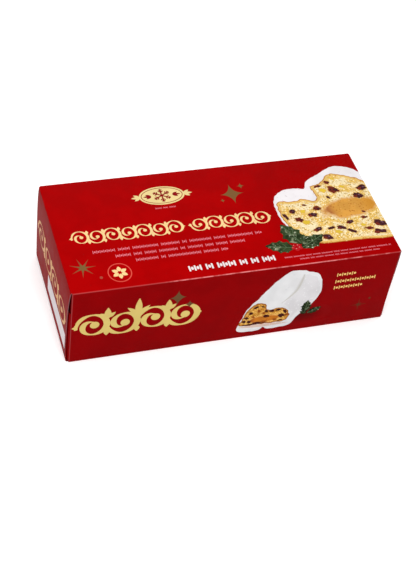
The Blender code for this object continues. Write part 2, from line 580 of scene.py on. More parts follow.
def smooth_loop(points, steps=6, closed=True):
    """Points on a curve that passes through the given ones."""
    count = len(points)
    curve = []
    for index in range(count if closed else count - 1):
        around = [index - 1, index, index + 1, index + 2]
        if not closed:
            around = [min(max(place, 0), count - 1) for place in around]
        before, start, end, after = (Vector(points[place % count]) for place in around)
        for step in range(steps):
            t = step / steps
            linear = (end - before) * t
            square = (2 * before - 5 * start + 4 * end - after) * t**2
            cubic = (3 * start - before - 3 * end + after) * t**3
            curve.append(0.5 * (2 * start + linear + square + cubic))
    if not closed:
        curve.append(Vector(points[-1]))
    return curve


def sideways(curve, index):
    """Across a closed curve at one of its points, with a length of 1."""
    ahead = curve[(index + 1) % len(curve)] - curve[index - 1]
    return Vector((ahead.y, -ahead.x)).normalized()


def lumpy(curve, amount, wavelength, seed):
    """Push the points of a closed curve in and out by noise."""
    pushed = []
    for index, point in enumerate(curve):
        value = noise.noise(Vector((point.x / wavelength, point.y / wavelength, seed)))
        pushed.append(point + sideways(curve, index) * value * amount)
    return pushed


def distance_to(point, curve):
    """How far a point is from a closed curve."""
    nearest = []
    for index, corner in enumerate(curve):
        share = geometry.intersect_point_line(point, curve[index - 1], corner)[1]
        share = min(1.0, max(0.0, share))
        nearest.append((curve[index - 1].lerp(corner, share) - point).length)
    return min(nearest)


def shrunk(curve, amount):
    """A closed curve moved inwards, without the folds that this would make in its corners."""
    turning = sum(point.cross(curve[index - 1]) for index, point in enumerate(curve))
    way = 1 if turning > 0 else -1
    kept = []
    for index, point in enumerate(curve):
        moved = point + sideways(curve, index) * amount * way
        if distance_to(moved, curve) > amount * 0.97:
            kept.append(moved)
    return kept


def uncrossed(curve):
    """A closed curve without its small loops."""
    points = list(curve)
    index = 0
    while index < len(points):
        for ahead in range(12, 1, -1):
            here, after = points[index], points[(index + 1) % len(points)]
            there, beyond = (points[(index + ahead + step) % len(points)] for step in (0, 1))
            if geometry.intersect_line_line_2d(here, after, there, beyond):
                dropped = {(index + step) % len(points) for step in range(1, ahead + 1)}
                points = [point for place, point in enumerate(points) if place not in dropped]
                break
        index += 1
    return points


def turned(x, y, turn, along, across):
    """A point that lies along and across a direction from another."""
    return (
        x + along * math.cos(turn) - across * math.sin(turn),
        y + along * math.sin(turn) + across * math.cos(turn),
    )


def direction(turn):
    """A step with a length of 1 at an angle."""
    return Vector((math.cos(turn), math.sin(turn)))


class Print:
    """Shapes of one ink, drawn flat in millimetres and laid on a panel as thin closed plates."""

    def __init__(self):
        self.bm = bmesh.new()
        self.count = 0

    def stagger(self):
        """A slightly different level for each shape, so that no two overlap at the same height."""
        self.count += 1
        return LEVEL_STEP * (self.count % LEVELS)

    def outline(self, points, level=0.0):
        """One flat face with these points round its edge."""
        level += self.stagger()
        made = bmesh.ops.create_circle(self.bm, cap_ends=True, segments=len(points), radius=1.0)
        for vert, (x, y) in zip(made["verts"], points):
            vert.co = (x, y, level)
        return made["verts"][0].link_faces[0]

    def polar(self, x, y, count, reach, turn=0.0, level=0.0):
        """A face round a point, with reach(angle) giving where its edge is from there."""
        angles = [2 * math.pi * index / count for index in range(count)]
        return self.outline([turned(x, y, turn, *reach(angle)) for angle in angles], level)

    def oval(self, x, y, half_width, half_height, count=24):
        return self.polar(x, y, count, lambda a: (half_width * math.cos(a), half_height * math.sin(a)))

    def ring(self, x, y, half_width, half_height, thickness):
        """An oval ring: a disc with its middle taken out."""
        disc = self.oval(x, y, half_width, half_height, count=56)
        bmesh.ops.inset_region(self.bm, faces=[disc], thickness=thickness, use_boundary=True)
        bmesh.ops.delete(self.bm, geom=[disc], context="FACES")

    def sparkle(self, x, y, half_width, half_height, sharpness=3.0):
        """A four-pointed star with hollow sides."""
        def reach(angle):
            across, up = math.cos(angle), math.sin(angle)
            return (
                half_width * math.copysign(abs(across) ** sharpness, across),
                half_height * math.copysign(abs(up) ** sharpness, up),
            )
        self.polar(x, y, 56, reach)

    def needle_star(self, x, y, rays, long_ray, short_ray, core, turn):
        """A star with thin straight rays, alternately long and short, round a small core."""
        reaches = (long_ray, core, short_ray, core)
        points = []
        for index in range(rays * 2):
            point = Vector((x, y)) + direction(turn + math.pi * index / rays) * reaches[index % 4]
            points.append(tuple(point))
        self.outline(points)

    def leaf(self, x, y, turn, reach, width, spines=0):
        """A leaf from its stalk at a point. Holly has spines along its edge."""
        points = []
        steps = spines * 6 if spines else 12
        for edge in (1, -1):
            for step in range(steps):
                t = step / steps if edge > 0 else 1 - step / steps
                half = width / 2 * math.sin(math.pi * t**0.85) ** 0.9 if 0 < t < 1 else 0.0
                if spines:
                    half *= 1.10 - 0.30 * abs(math.sin(math.pi * spines * t))
                points.append(turned(x, y, turn, t * reach, edge * half))
        self.outline(points)

    def leaf_fan(self, x, y, turn, lean, side_reach, middle_reach, width):
        """Three leaves from one point, of which the outer two lean away from the middle one."""
        for way, reach in ((-lean, side_reach), (0.0, middle_reach), (lean, side_reach)):
            self.leaf(x, y, turn + way, reach, width)

    def bar(self, x, y, width, height, turn=0.0, level=0.0):
        """A bar with rounded ends, centred on a point."""
        radius = min(width, height) / 2
        def reach(angle):
            across, up = math.cos(angle), math.sin(angle)
            return (
                math.copysign(width / 2 - radius, across) + radius * across,
                math.copysign(height / 2 - radius, up) + radius * up,
            )
        self.polar(x, y, 14, lambda a: reach(a + 0.1), turn, level)

    def twig(self, foot, turn, reach, thickness, level=0.0):
        """A bar that starts at a point and runs on at an angle."""
        middle = foot + direction(turn) * reach / 2
        self.bar(middle.x, middle.y, reach, thickness, turn, level)

    def stroke(self, path, width, steps):
        """A strip that follows path(t) for t from 0 to 1 and is width(t) wide."""
        level = self.stagger()
        made = bmesh.ops.create_grid(self.bm, x_segments=steps, y_segments=1, size=0.5)
        for vert in made["verts"]:
            t = vert.co.x + 0.5
            ahead = path(min(1.0, t + 0.002)) - path(max(0.0, t - 0.002))
            aside = Vector((-ahead.y, ahead.x)).normalized() * width(t) / 2
            vert.co = (*(path(t) + aside * (1 if vert.co.y > 0 else -1)), level)

    def lay(self, where, name, slot, *materials, top=0.02):
        """Give the shapes their thickness, place them on a panel and finish the piece."""
        panel = panels()[where]
        for axis, cut in panel.cuts(max(vert.co.x for vert in self.bm.verts)):
            across = Vector((1 - axis, axis, 0))
            shapes = self.bm.verts[:] + self.bm.edges[:] + self.bm.faces[:]
            bmesh.ops.bisect_plane(self.bm, geom=shapes, plane_co=across * cut, plane_no=across)
        tops = bmesh.ops.extrude_face_region(self.bm, geom=self.bm.faces[:], use_keep_orig=True)
        raised = {item for item in tops["geom"] if isinstance(item, bmesh.types.BMVert)}
        for vert in self.bm.verts:
            lift = vert.co.z + top if vert in raised else -SUNK
            vert.co = panel.place(vert.co.x * MM, vert.co.y * MM, lift * MM)
        return finish_piece(self.bm, name, slot, *materials)


# Board


def crease_shares(point, low, high, radius):
    """For the long and the upright creases: 1 in the middle of the crease, 0 on the flat panels."""
    over = []
    for axis in range(3):
        middle = (low[axis] + high[axis]) / 2
        half = (high[axis] - low[axis]) / 2
        over.append(max(0.0, abs(point[axis] - middle) - (half - radius)) / radius)
    across, deep, up = over
    return min(1.0, 3 * deep * up), min(1.0, 3 * across * deep)


def build_tube():
    """The four long panels with rolled creases."""
    low, high = tube_box()
    size = sizes()
    bm = bmesh.new()
    bmesh.ops.create_cube(bm, size=1.0)
    for vert in bm.verts:
        for axis in range(3):
            vert.co[axis] = high[axis] if vert.co[axis] > 0 else low[axis]
    creases = []
    for edge in bm.edges:
        start, end = (vert.co for vert in edge.verts)
        if abs(start.y - end.y) < size.board:
            creases.append(edge)
    bmesh.ops.bevel(
        bm, geom=creases, offset=size.crease, segments=6, affect="EDGES", profile=0.5, material=-1
    )
    for key in ("crease", "upright"):
        bm.verts.layers.float.new(key)
    crease, upright = (bm.verts.layers.float[key] for key in ("crease", "upright"))
    for vert in bm.verts:
        vert[crease], vert[upright] = crease_shares(vert.co, low, high, size.crease)
    tube = finish_piece(bm, "carton_tube", "printed_board", board_finish("board_tube", 0.46))
    smooth_folds(tube, 40)
    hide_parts("carton")


def build_lap_edge():
    """The back panel's cut edge, which shows along the lower back where it laps the bottom panel."""
    low, high = tube_box()
    left, right = 1, (high.x - low.x) / MM - 1
    foot = (high.z - low.z - sizes().crease) / MM
    top = foot - sizes().board / MM
    sheet = Print()
    sheet.outline([(left, top), (right, top), (right, foot), (left, foot)])
    sheet.lay("back", "lap_edge", "cut_edge", cut_edge_finish(), top=0.01)


def board_strip(name, curve, side, under, inset_foot, inset_top):
    """A flap: a curve of (share, height) points swept across the end and given the board's thickness.

    At a share of 1 it lies under the outer flap's face by the length under, and at 0 on the tube's end.
    """
    low, high = tube_box()
    size = sizes()
    end = low.x if side < 0 else high.x
    heights = [height for _, height in curve]
    foot, top = min(heights), max(heights)
    rows = 8
    bm = bmesh.new()
    verts = [bm.verts.new((share, 0.0, height)) for share, height in curve]
    edges = [bm.edges.new(pair) for pair in zip(verts, verts[1:])]
    for row in range(1, rows + 1):
        made = bmesh.ops.extrude_edge_only(bm, edges=edges)["geom"]
        edges = [item for item in made if isinstance(item, bmesh.types.BMEdge)]
        for vert in {vert for edge in edges for vert in edge.verts}:
            vert.co.y = row / rows
    for vert in bm.verts:
        rise = (vert.co.z - foot) / (top - foot)
        half_depth = (high.y - low.y) / 2 - (inset_foot + (inset_top - inset_foot) * rise)
        y = (low.y + high.y) / 2 + (2 * vert.co.y - 1) * half_depth
        standoff = vert.co.x * (flap_standoff(side, y, vert.co.z) - under)
        vert.co = (end + side * standoff, y, vert.co.z)
    bmesh.ops.recalc_face_normals(bm, faces=bm.faces)
    if sum(face.normal.x * side for face in bm.faces) < 0:
        bmesh.ops.reverse_faces(bm, faces=bm.faces)
    bmesh.ops.solidify(bm, geom=bm.faces[:], thickness=size.board)
    layer = bm.verts.layers.float.new("crease")
    # The rolled fold takes a share of the crease colour: rubbed board and painted highlight.
    for vert in bm.verts:
        vert[layer] = 0.35 if vert.co.z > high.z - size.roll else 0.0
    for face in bm.faces:
        normal, height = face.normal, face.calc_center_median().z
        if name.startswith("bottom"):
            cut = normal.z > 0.9 and height > foot
        else:
            cut = abs(normal.y) > 0.9 or (abs(normal.z) > 0.9 and height < top - size.roll)
        face.material_index = int(cut)
    strip = finish_piece(bm, name, "printed_board", board_finish("board_flap", 0.35), cut_edge_finish())
    smooth_folds(strip, 35)


def build_flaps():
    """The outer flap and the bottom flap of each end."""
    top = tube_box()[1].z
    size = sizes()
    quarter = [math.pi / 2 * step / 8 for step in range(9)]
    roll_foot = top - size.roll
    outer_insets, bottom_insets = (0.0036, 0.0011), (0.0014, 0.0034)
    behind = size.board * 1.15
    for side, word in ENDS:
        curve = [(1.0, top - size.roll * (1 - math.cos(turn))) for turn in quarter]
        for step in range(1, 17):
            curve.append((1.0, roll_foot + (size.flap_foot - roll_foot) * (step / 16) ** 1.7))
        board_strip(f"outer_flap_{word}", curve, side, 0.0, *outer_insets)
        stand = (size.left_back if side < 0 else size.right) - size.board
        curve = [(math.sin(turn), stand * (1 - math.cos(turn))) for turn in quarter]
        for step in range(1, 9):
            curve.append((1.0, stand + (size.bottom_flap - stand) * step / 8))
        board_strip(f"bottom_flap_{word}", curve, side, behind, *bottom_insets)


def build_dust_flaps():
    """The dust flaps, which spring out from the front and back panels behind the bottom flap."""
    low, high = tube_box()
    size = sizes()
    reach, spring, foot, steps = 0.014, 0.0013, 0.002, 12
    for side, word in ENDS:
        end = low.x if side < 0 else high.x
        bm = bmesh.new()
        for hinge, inward in ((low.y + size.crease / 2, 1), (high.y - size.crease / 2, -1)):
            verts = []
            for step in range(steps + 1):
                along = reach * (step / steps) ** 1.8
                y = hinge + inward * along
                full = flap_standoff(side, y, size.bottom_flap) - 2.3 * size.board
                standoff = full * (1 - math.exp(-along / spring))
                verts.append(bm.verts.new((end + side * standoff, y, foot)))
            edges = [bm.edges.new(pair) for pair in zip(verts, verts[1:])]
            for vert in bmesh.ops.extrude_edge_only(bm, edges=edges)["geom"]:
                if isinstance(vert, bmesh.types.BMVert):
                    vert.co.z = size.bottom_flap - size.board
        bm.normal_update()
        for face in bm.faces:
            if face.normal.x * side < 0:
                face.normal_flip()
        bmesh.ops.solidify(bm, geom=bm.faces[:], thickness=size.board * 0.8)
        flaps = finish_piece(bm, f"dust_flaps_{word}", "printed_board", board_finish("board_flap", 0.35))
        smooth_folds(flaps, 35)


# Ornaments


def spiral(x, y, half_width, half_height, flip, turns):
    """A path that runs round a cell from its left side and curls in to the middle."""
    def path(t):
        turned_by = t * turns
        shrink = 1.0 if turned_by < 0.5 else 1.0 - 0.80 * (turned_by - 0.5) / (turns - 0.5)
        step = direction(math.pi + flip * 2 * math.pi * turned_by) * shrink
        return Vector((x + half_width * step.x, y + half_height * step.y))
    return path


def scroll_frieze(sheet, left, right, middle, height, cells, weight, first_flip=1):
    """A running scroll: cells that curl in by turns upwards and downwards, with buds between."""
    pitch = (right - left) / cells
    half_width, half_height = pitch / 2, height / 2
    turns = 1.45

    def width(t):
        upright = abs(math.cos(2 * math.pi * t * turns)) ** 1.4
        taper = min(1.0, 0.35 + 6 * t) * (1.0 - 0.30 * t)
        return weight * (0.26 + 0.74 * upright) * taper

    for cell in range(cells):
        x = left + pitch * (cell + 0.5)
        path = spiral(x, middle, half_width, half_height, first_flip * (-1) ** cell, turns)
        sheet.stroke(path, width, 46)
        sheet.oval(*path(1.0), weight * 0.62, weight * 0.62, count=18)
    for node in range(1, cells):
        for way in (-1, 1):
            foot = middle + way * half_height * 0.50
            sheet.leaf(left + pitch * node, foot, way * math.pi / 2, half_height * 0.54, pitch * 0.19)
    for x, turn in ((left + pitch * 0.04, math.pi), (right - pitch * 0.04, 0.0)):
        sheet.leaf_fan(x, middle, turn, 0.8, half_height * 0.30, half_height * 0.38, pitch * 0.12)


def bead_row(sheet, left, right, middle, height, groups, weight=0.15, spacing=0.40):
    """A row of upright reels with beads between them, in groups that repeat up to its right end."""
    pitch = height * spacing
    x = left
    turn = 0
    while x < right - 2 * pitch:
        count = min(groups[turn % len(groups)], round((right - x) / pitch))
        for index in range(count):
            centre = x + pitch * (index + 0.5)
            if index % 2:
                sheet.oval(centre, middle, pitch * 0.50, height * 0.27, count=12)
            else:
                sheet.bar(centre, middle, height * weight, height * 0.92)
        x += pitch * (count + 1.2)
        turn += 1


def snowflake(sheet, x, y, radius, weight):
    """Six arms with side twigs."""
    centre = Vector((x, y))
    for arm in range(6):
        turn = math.pi / 3 * arm + math.pi / 6
        sheet.twig(centre, turn, radius, weight)
        for share, twig in ((0.50, 0.34), (0.76, 0.24)):
            foot = centre + direction(turn) * radius * share
            for lean in (-math.pi / 3.4, math.pi / 3.4):
                sheet.twig(foot, turn + lean, radius * twig, weight * 0.8, level=0.004)


def rosette(sheet, x, y, radius):
    """Six broad petals that leave a small bare heart."""
    for petal in range(6):
        turn = math.pi / 3 * petal + math.pi / 6
        start = Vector((x, y)) + direction(turn) * radius * 0.20
        sheet.leaf(start.x, start.y, turn, radius * 0.80, radius * 0.54)


def build_top_frieze():
    """The cream scroll across the top, in two lengths."""
    sheet = Print()
    middle, height, weight = 64.0, 14.2, 2.4
    scroll_frieze(sheet, 12.0, 100.4, middle, height, 7, weight)
    scroll_frieze(sheet, 107.2, 172.2, middle, height, 5, weight, first_flip=-1)
    sheet.lay("top", "top_frieze", "cream_print", ink_finish("cream_ink", hue("cream")))


def leaf_sprays(sheet, left, right, foot, cells):
    """Upright sprays of three leaves between the cells of a scroll, the middle one the tallest."""
    pitch = (right - left) / cells
    for node, reach in ((1, 13.0), (2, 19.0), (3, 13.0)):
        x = left + pitch * node
        sheet.leaf(x, foot, -math.pi / 2, reach, 5.6)
        for lean in (-0.85, 0.85):
            sheet.leaf(x, foot - 2.0, -math.pi / 2 + lean, reach * 0.62, 3.6)


def build_side_frieze():
    """The large gold scroll that runs from the left end round on to the front, and its likes behind."""
    gold = ink_finish("gold_ink", hue("gold"), 0.40)
    # The end panels' frieze takes a duller copy of the same gold: painted shade and sheen of the ends.
    shaded_gold_on_ends = ink_finish("end_gold_ink", ink(214, 164, 116), 0.40)
    lengths = (
        ("left", 9.0, 113.0, 35.0, 22.0, 4, 4.0, shaded_gold_on_ends),
        ("front", 4.4, 100.4, 38.0, 24.4, 4, 6.0, gold),
        ("right", 9.0, 112.0, 43.0, 19.0, 5, 4.0, shaded_gold_on_ends),
        ("back", 18.0, 247.0, 38.6, 25.0, 9, 6.0, gold),
    )
    for name, left, right, middle, height, cells, weight, metal in lengths:
        sheet = Print()
        scroll_frieze(sheet, left, right, middle, height, cells, weight)
        if name == "front":
            leaf_sprays(sheet, left, right, middle - height * 0.22, cells)
        sheet.lay(name, f"{name}_frieze", "gold_print", metal)


def build_medallion():
    """The oval medallion with a snowflake, where the maker's plaque would be."""
    x, y = 93.4, 26.8
    field, drawing = Print(), Print()
    field.oval(x, y, 18.8, 10.6, count=64)
    drawing.ring(x, y, 17.2, 9.2, 0.55)
    snowflake(drawing, x, y, 7.6, 1.15)
    for way, turn in ((-1, math.pi), (1, 0.0)):
        field.leaf_fan(x + way * 18.2, y, turn, 0.62, 5.8, 7.2, 2.5)
        drawing.leaf_fan(x + way * 8.8, y, turn, 0.5, 5.0, 6.6, 2.1)
    cream = ink_finish("medallion_cream", ink(240, 216, 150))
    field.lay("top", "medallion", "cream_print", cream)
    wine = ink_finish("medallion_wine", ink(140, 14, 22))
    drawing.lay("top", "medallion_snowflake", "printed_board", wine, top=0.07)


def build_badge():
    """The ring with a rosette in it."""
    x, y = 39.8, 105.0
    ring, flower = Print(), Print()
    ring.ring(x, y, 9.2, 9.8, 0.8)
    ring.lay("top", "badge_ring", "pink_print", ink_finish("ring_ink", ink(224, 84, 70)))
    rosette(flower, x, y, 6.4)
    flower.lay("top", "badge_rosette", "cream_print", ink_finish("cream_ink", hue("cream")))


def build_rows():
    """Rows of beads and reels in place of the words."""
    fine, bold, front = Print(), Print(), Print()
    for left, right, middle, height, groups in (
        (24.0, 161.0, 80.8, 3.5, (13, 7, 15, 11, 3)),
        (40.4, 145.0, 87.5, 3.5, (9, 5, 7, 11, 3)),
        (54.8, 128.6, 94.1, 3.5, (13, 3, 19, 9)),
        (84.2, 102.8, 41.0, 2.0, (7, 5)),
        (169.7, 260.2, 111.6, 1.8, (9, 13, 7)),
        (181.3, 249.1, 114.9, 1.8, (11, 5, 9)),
    ):
        bead_row(fine, left, right, middle, height, groups)
    bead_row(bold, 92.0, 161.6, 110.2, 6.3, (5, 3, 7, 3, 3, 7, 5), weight=0.24, spacing=0.35)
    for right, middle in ((230.6, 17.6), (248.8, 25.2), (238.8, 32.2)):
        bead_row(front, 213.2, right, middle, 4.2, (40,), weight=0.20, spacing=0.50)
    fine.lay("top", "fine_rows", "pink_print", ink_finish("pink_ink", hue("pink")))
    bold.lay("top", "bold_row", "white_print", ink_finish("white_ink", hue("white"), 0.45))
    front.lay("front", "front_rows", "cream_print", ink_finish("warm_cream_ink", ink(243, 200, 118)))


def lay_sparkles(where, name, metal, *stars, top=0.02):
    """Sparkles on one panel, each with its place, half width, half height and sharpness."""
    sheet = Print()
    for star in stars:
        sheet.sparkle(*star)
    sheet.lay(where, name, "gold_print", metal, top=top)


def build_stars():
    """Sparkles and needle stars in dull gold."""
    gold = ink_finish("star_gold", hue("dull_gold"), 0.45)
    top_stars = (150.5, 34.0, 10.4, 12.0, 3.6), (160.2, 25.8, 3.4, 3.8, 3.8), (140.7, 40.6, 2.2, 2.5, 3.8)
    lay_sparkles("top", "top_stars", gold, *top_stars)
    for part, reach, core, tint, top in (
        ("rays", 10.6, 2.3, ink(146, 72, 44), 0.02),
        ("core", 4.6, 2.5, ink(126, 94, 54), 0.06),
    ):
        sheet = Print()
        sheet.needle_star(13.4, 95.7, 7, reach, reach, core, turn=math.radians(100))
        metal = ink_finish(f"needle_star_{part}_ink", tint, 0.45)
        sheet.lay("top", f"needle_star_{part}", "gold_print", metal, top=top)
    dot = Print()
    dot.oval(24.9, 107.8, 1.25, 1.4, count=14)
    dot.lay("top", "top_dot", "gold_print", ink_finish("dot_ink", ink(172, 72, 56), 0.45))
    dark = ink_finish("star_dark", ink(104, 74, 46), 0.45)
    front_stars = (83.0, 18.9, 6.8, 8.2, 3.3), (93.1, 27.8, 3.6, 3.8, 3.0)
    lay_sparkles("front", "front_stars", dark, *front_stars, top=0.09)
    faint_stars = Print()
    faint_stars.needle_star(240.2, 56.6, 8, 7.6, 3.6, 1.15, turn=math.pi / 2)
    faint_stars.sparkle(248.8, 50.4, 1.7, 1.9)
    faint = ink_finish("star_faint", hue("faint_gold"), 0.45)
    faint_stars.lay("front", "faint_stars", "gold_print", faint)
    back_stars = ((30.0, 13.0, 6.0), (132.0, 67.0, 5.0), (236.0, 64.0, 6.0), (90.0, 13.0, 3.4))
    lay_sparkles("back", "back_stars", gold, *((x, y, size * 0.85, size, 3.3) for x, y, size in back_stars))


def build_date_field():
    """The bare white field on the left flap, for a date stamp, and its like on the right flap."""
    white = ink_finish("bare_white", ink(222, 214, 216), 0.60)
    fields = (("left", 51.0, 116.6, 49.0, 65.0), ("right", 6.0, 62.0, 57.0, 67.0))
    for name, left, right, top, foot in fields:
        sheet = Print()
        sheet.outline([(left, top), (right, top), (right, foot), (left, foot)])
        sheet.lay(name, f"date_field_{name}", "white_print", white, top=0.012)


# Pictures

# Corners of a fruit's edge, and how much larger its halo is
FRUIT_POINTS = 26
HALO = 1.24


def fruit(sheet, point, radius, draw, flatness, turn):
    """A wrinkled raisin or a chip of peel, seen cut. Gives its edge, to draw it again larger."""
    seed = draw.uniform(0, 50)

    def edge(angle, grow=1.0):
        around = Vector((math.cos(angle) * 1.5, math.sin(angle) * 1.5, seed))
        reach = radius * grow * (1 + 0.42 * noise.noise(around) + 0.34 * noise.noise(around * 2.3))
        return reach * math.cos(angle), reach * flatness * math.sin(angle)

    sheet.polar(point.x, point.y, FRUIT_POINTS, edge, turn)
    return edge


# Outlines are in millimetres on their panels. A fruit has its place, radius, flatness, turn and kind.
SLICE_OUTLINE = (
    (206, 101.2), (197, 96), (190.4, 90), (185.8, 83), (182.4, 76), (180.8, 69.5), (180.4, 62), (180.6, 55),
    (181.8, 48.2), (184.8, 42.4), (189, 38.8), (194, 36.6), (200, 35.8), (206, 36.6), (211.4, 37.8),
    (213.6, 34.4), (215.2, 30.8), (218, 28), (222.8, 25.4), (229, 22.2), (235.2, 18.8), (241.2, 15.8),
    (246.6, 14.4), (252, 15.4), (257, 17.6), (261.6, 20.6), (266, 25.4), (270, 31), (275, 40), (277.4, 60),
    (276.6, 84), (271.6, 102.2), (240, 102),
)
CRUMB_OUTLINE = (
    (206, 101.4), (197.8, 95.6), (191, 89.4), (186.4, 82.6), (183.8, 76), (182.4, 69), (182, 62), (182.4, 56),
    (183.4, 51.2), (185.8, 49), (190.2, 49.6), (195.2, 50.6), (200.2, 50.6), (205.4, 49.4), (210, 50.8),
    (214, 53), (217.4, 52), (218.6, 48.2), (218.2, 43), (217, 38.6), (217.6, 36), (220.2, 34.8), (225, 33.6),
    (229, 31.4), (232.2, 27.8), (235.2, 24.8), (240, 23), (245.2, 24.6), (252.6, 27.6), (260, 31.6),
    (265.2, 35.6), (270.2, 42), (273.6, 60), (272.8, 84), (268.4, 102.4), (240, 102.2),
)
SLICE_FRUIT = (
    (192.8, 62.4, 2.7, 0.90, 0.2, "raisin"), (195.2, 72.4, 3.3, 0.82, 0.5, "red"),
    (208.4, 68.6, 4.0, 0.58, 0.4, "raisin"), (213.9, 62.4, 2.9, 0.95, 0.0, "red"),
    (235.4, 42.4, 4.6, 0.78, 0.3, "red"), (254.3, 52.5, 4.2, 0.80, 0.6, "raisin"),
    (261.0, 43.8, 4.3, 0.72, -0.3, "raisin"), (236.1, 81.5, 3.3, 0.56, -0.2, "raisin"),
    (207.2, 85.4, 4.0, 0.50, -0.4, "raisin"), (218.3, 85.8, 3.2, 0.42, -0.2, "slit"),
    (227.2, 86.4, 3.8, 0.50, 0.4, "raisin"), (234.2, 91.6, 4.0, 0.38, 0.6, "slit"),
    (249.5, 91.0, 3.5, 0.38, 0.1, "red"), (261.0, 86.6, 5.0, 0.72, 0.5, "raisin"),
    (257.4, 95.6, 5.2, 0.38, 0.3, "raisin"), (212.0, 95.2, 3.9, 0.66, 0.4, "raisin"),
    (185.6, 67.6, 3.6, 0.42, 1.3, "slit"), (223.6, 36.8, 3.5, 0.36, -0.3, "red"),
    (233.4, 33.2, 2.5, 0.66, 0.4, "red"), (249.5, 78.2, 2.8, 0.55, 0.0, "red"),
    (228.4, 51.0, 1.9, 0.70, 0.8, "slit"), (205.0, 56.6, 1.7, 0.60, 0.3, "red"),
    (200.4, 76.1, 2.9, 0.78, 0.2, "peel"), (226.4, 42.0, 2.8, 0.80, 0.7, "peel"),
    (201.4, 63.8, 2.2, 0.80, 0.0, "peel"), (223.1, 91.0, 2.8, 0.60, 0.3, "peel"),
    (244.6, 40.0, 2.2, 0.60, 0.5, "peel"), (246.0, 86.6, 2.0, 0.70, 0.0, "peel"),
    (251.5, 71.6, 1.7, 0.60, 0.6, "red"), (239.0, 29.4, 2.6, 0.34, 0.9, "peel"),
)


def place_fruit(seed):
    """The slice's fruit: sheets of halos, raisins, red fruit, peel, dark parts and glints."""
    halos, raisins, red_fruit, peel, dark, glints = (Print() for _ in range(6))
    sheets = {"raisin": raisins, "slit": raisins, "red": red_fruit, "peel": peel}
    # Parts within a fruit: sheet, place and size as shares of its radius, flatness or 0 for its own
    parts = {
        "raisin": ((red_fruit, (-0.62, 0.20), 0.44, 0.7), (glints, (0.26, -0.14), 0.24, 0.5)),
        "red": ((dark, (0.46, 0.10), 0.46, 0), (dark, (-0.40, -0.06), 0.24, 0)),
    }
    draw = random.Random(seed)
    for x, y, radius, flatness, turn, kind in SLICE_FRUIT:
        point = Vector((x, y))
        edge = fruit(sheets[kind], point, radius, draw, flatness, turn)
        halos.polar(x, y, FRUIT_POINTS, lambda angle, edge=edge: edge(angle, HALO), turn)
        for sheet, shift, share, part_flatness in parts.get(kind, ()):
            place = point + Vector(shift) * radius
            fruit(sheet, place, radius * share, draw, part_flatness or flatness, turn)
    return halos, raisins, red_fruit, peel, dark, glints


def cut_face(sheet, curve, crust, baked):
    """A cut face: crust all over, then a baked zone and the crumb within it, as slots 1, 2 and 0."""
    layers = ((curve, 1), (shrunk(curve, crust), 2), (shrunk(curve, crust + baked), 0))
    for index, (edge, slot) in enumerate(layers):
        edge = uncrossed(lumpy(edge, 0.25 * index, 1.9, 11.0))
        sheet.outline(edge, level=0.012 * index).material_index = slot


def build_slice():
    """The cut slice that runs on over the right fold: sugar, crust, crumb with marzipan, and fruit."""
    sugar = spotted_finish("sugar_ink", hue("sugar"), ink(222, 213, 217), 300.0, 0.24)
    sheet = Print()
    sheet.outline(lumpy(smooth_loop(SLICE_OUTLINE), 0.6, 3.2, 2.0))
    sheet.lay("top", "slice_sugar", "picture_print", sugar)
    core_place = tuple(panels()["top"].place(242.4 * MM, 64.6 * MM, 0))
    core_size, core_tilt, core_tone = (0.0222, 0.0098, 1.0), 0.13, (1, 1, 1)
    pale, butter = hue("crumb"), ink(233, 190, 96)
    crumb = crumb_finish("crumb_ink", pale, butter, core_place, core_size, core_tilt, core_tone)
    crust = spotted_finish("crust_ink", hue("crust"), ink(240, 206, 140), 420.0, 0.28)
    baked = spotted_finish("baked_ink", ink(236, 196, 112), ink(206, 140, 66), 330.0, 0.36)
    sheet = Print()
    cut_face(sheet, lumpy(smooth_loop(CRUMB_OUTLINE), 0.9, 3.0, 7.0), 0.8, 2.0)
    sheet.lay("top", "slice_crumb", "picture_print", crumb, crust, baked, top=0.05)
    looks = (
        ("halos", ink(226, 182, 108), ink(242, 214, 150), 0.09),
        ("raisins", hue("raisin"), ink(118, 52, 50), 0.14),
        ("cranberries", hue("cranberry"), ink(186, 84, 44), 0.19),
        ("peel", hue("peel"), ink(226, 164, 62), 0.14),
        ("dark_fruit", hue("raisin"), ink(96, 40, 36), 0.24),
        ("glints", ink(120, 84, 100), ink(158, 122, 132), 0.24),
    )
    for sheet, (part, tint, spots, top) in zip(place_fruit(5), looks):
        material = spotted_finish(f"slice_{part}_ink", tint, spots, 700.0, 0.3)
        sheet.lay("top", f"slice_{part}", "picture_print", material, top=top)


FLANK_OUTLINE = (
    (186.4, 12.8), (195.2, 15.6), (199.6, 22.6), (201.4, 33.6), (199, 41), (191, 49), (185.6, 55.6),
    (181.6, 60.6), (181.0, 54.6), (177.6, 47.6), (174, 42.4), (178.8, 33), (183.6, 23.6),
)
SEAM = ((185.2, 11.6), (184.4, 18.6), (182.0, 28.0), (177.4, 35.0), (170.8, 42.0))
LOAF_OUTLINE = (
    (136.2, 66.4), (136.6, 63.2), (137.8, 58.6), (140.2, 51), (142.2, 45), (145.6, 39.2), (150.2, 33.4),
    (154.4, 27.4), (158.6, 21.2), (163.4, 15.2), (167.8, 10.4), (171.6, 7.2), (175.6, 6), (180.2, 6.2),
    (185.4, 7.4), (189, 9.2), (192.6, 10), (196, 11.8), (199.2, 15.4), (201.4, 20.4), (202.6, 26.4),
    (203.2, 33.4), (202, 38.6), (199.8, 43.2), (197.2, 47.6), (193.6, 52.2), (190, 56.4), (186.4, 60.8),
    (184.2, 65.2), (182.6, 68), (179.6, 69.6), (172, 70.2), (162.4, 70.4), (158.9, 67.4), (155.4, 70.4),
    (144, 70.8), (138, 69.6),
)
